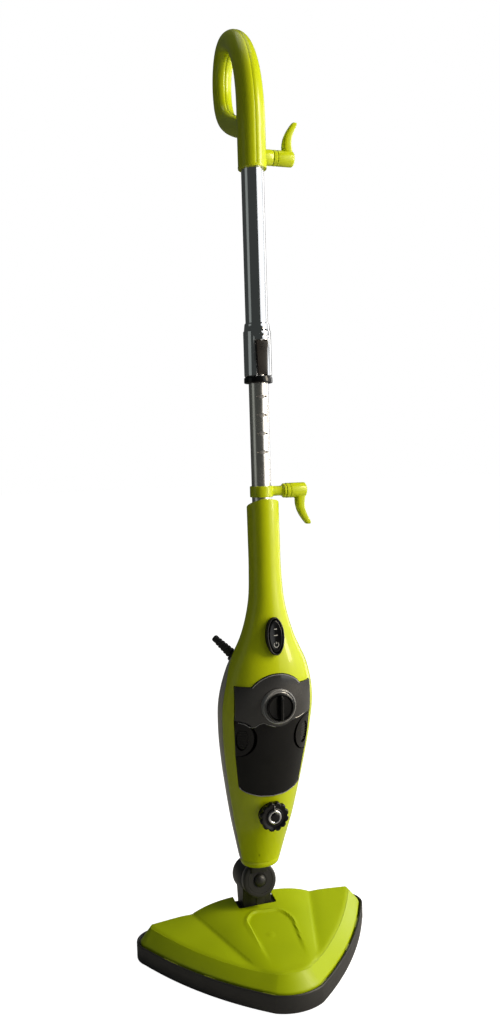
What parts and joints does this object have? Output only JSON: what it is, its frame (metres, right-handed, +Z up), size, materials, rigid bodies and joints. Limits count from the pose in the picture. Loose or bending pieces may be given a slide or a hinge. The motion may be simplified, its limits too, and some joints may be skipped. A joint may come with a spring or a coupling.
{
  "type": "steam mop",
  "caption": "Upright steam mop with a triangular swivelling head, a body with a removable water tank, a telescopic pole, a loop handle and cord hooks.",
  "frame": {"origin": "on the floor under the pole's axis, at the sole plate's lower face", "axes": "+Z up along the pole, -Y towards the nose of the head, +X towards the side with the cord hooks"},
  "size_m": [0.3198, 0.2174, 1.1832],
  "materials": {
    "lime_plastic": "glossy lime moulding",
    "warm_grey_plastic": "satin warm grey moulding",
    "black_plastic": "satin black moulding",
    "smoked_plastic": "smoked translucent moulding, modelled opaque",
    "rubber": "soft black",
    "chrome": "polished plate",
    "steel": "satin",
    "aluminium": "cast",
    "brass": "bright"
  },
  "bodies": {
    "head": {"sole_plate": "black_plastic", "bumper_skirt": "black_plastic", "head_cover": "lime_plastic", "steam_manifold": "black_plastic", "hinge_cradle": "black_plastic", "cradle_screw_1": "steel", "cradle_screw_2": "steel", "pitch_pin": "steel"},
    "knuckle": {"swivel_leg": "black_plastic", "swivel_seal": "rubber", "barrel_end_cap": "black_plastic"},
    "steam_unit": {"swivel_disc": "black_plastic", "roll_pin": "black_plastic", "bottom_collar": "lime_plastic", "front_shell": "lime_plastic", "rear_shell": "warm_grey_plastic", "shell_screw_1": "steel", "shell_screw_2": "steel", "shell_screw_3": "steel", "shell_screw_4": "steel", "shell_screw_5": "steel", "tank_bay": "black_plastic", "water_inlet": "black_plastic", "pump": "steel", "boiler": "aluminium", "thermostat": "steel", "steam_valve": "brass", "feed_hose": "rubber", "pressure_hose": "rubber", "steam_pipe": "brass", "switch_bezel": "black_plastic", "dial_bezel": "black_plastic", "cord_gland": "black_plastic", "cord_boot": "rubber", "lower_tube": "chrome", "guide_bush": "black_plastic", "hook_clip": "lime_plastic"},
    "rocker": {"power_switch": "black_plastic"},
    "dial": {"steam_dial": "black_plastic", "dial_insert": "chrome"},
    "lower_hook_body": {"lower_hook": "lime_plastic"},
    "tank": {"water_tank": "smoked_plastic", "filler_collar": "smoked_plastic", "tank_outlet": "rubber"},
    "cap": {"tank_cap": "black_plastic", "cap_seal": "rubber"},
    "left_latch": {"latch_left": "black_plastic"},
    "right_latch": {"latch_right": "black_plastic"},
    "stick": {"upper_tube": "chrome", "lock_housing": "chrome", "lock_ring": "black_plastic", "lock_pivot": "steel", "handle_left": "lime_plastic", "handle_right": "lime_plastic", "handle_screw_1": "steel", "handle_screw_2": "steel"},
    "lever": {"lock_lever": "black_plastic"},
    "upper_hook_body": {"upper_hook": "lime_plastic"}
  },
  "joints": [
    {"name": "pitch", "type": "hinge", "parent": "head", "child": "knuckle", "pos_m": [0, 0.077, 0.04], "axis": [-1, 0, 0], "range_deg": [0, 70]},
    {"name": "roll", "type": "hinge", "parent": "knuckle", "child": "steam_unit", "pos_m": [0, 0.077, 0.0903], "axis": [0, -0.9744, 0.225], "range_deg": [-60, 60]},
    {"name": "rocker_tip", "type": "hinge", "parent": "steam_unit", "child": "rocker", "pos_m": [0, -0.0315, 0.4385], "axis": [1, 0, 0], "range_deg": [-6, 6]},
    {"name": "dial_turn", "type": "hinge", "parent": "steam_unit", "child": "dial", "pos_m": [0, -0.0165, 0.208], "axis": [0, -1, 0], "range_deg": [0, 270]},
    {"name": "lower_hook_turn", "type": "hinge", "parent": "steam_unit", "child": "lower_hook_body", "pos_m": [0.0305, 0, 0.6113], "axis": [1, 0, 0], "range_deg": [0, 180]},
    {"name": "tank_pull", "type": "slide", "parent": "steam_unit", "child": "tank", "axis": [0, -1, 0], "range_m": [0, 0.06]},
    {"name": "cap_turn", "type": "hinge", "parent": "tank", "child": "cap", "pos_m": [0, -0.045, 0.355], "axis": [0, -1, 0], "range_deg": [0, 90]},
    {"name": "left_latch_press", "type": "slide", "parent": "tank", "child": "left_latch", "axis": [1, 0, 0], "range_m": [0, 0.0025], "stiffness_N_per_m": 800},
    {"name": "right_latch_press", "type": "slide", "parent": "tank", "child": "right_latch", "axis": [-1, 0, 0], "range_m": [0, 0.0025], "stiffness_N_per_m": 800},
    {"name": "pole_slide", "type": "slide", "parent": "steam_unit", "child": "stick", "axis": [0, 0, -1], "range_m": [0, 0.1105]},
    {"name": "lever_press", "type": "hinge", "parent": "stick", "child": "lever", "pos_m": [0, -0.0136, 0.7783], "axis": [-1, 0, 0], "range_deg": [0, 9], "stiffness_Nm_per_rad": 0.08},
    {"name": "upper_hook_turn", "type": "hinge", "parent": "stick", "child": "upper_hook_body", "pos_m": [0.025, 0, 1.0093], "axis": [1, 0, 0], "range_deg": [0, 180]}
  ]
}
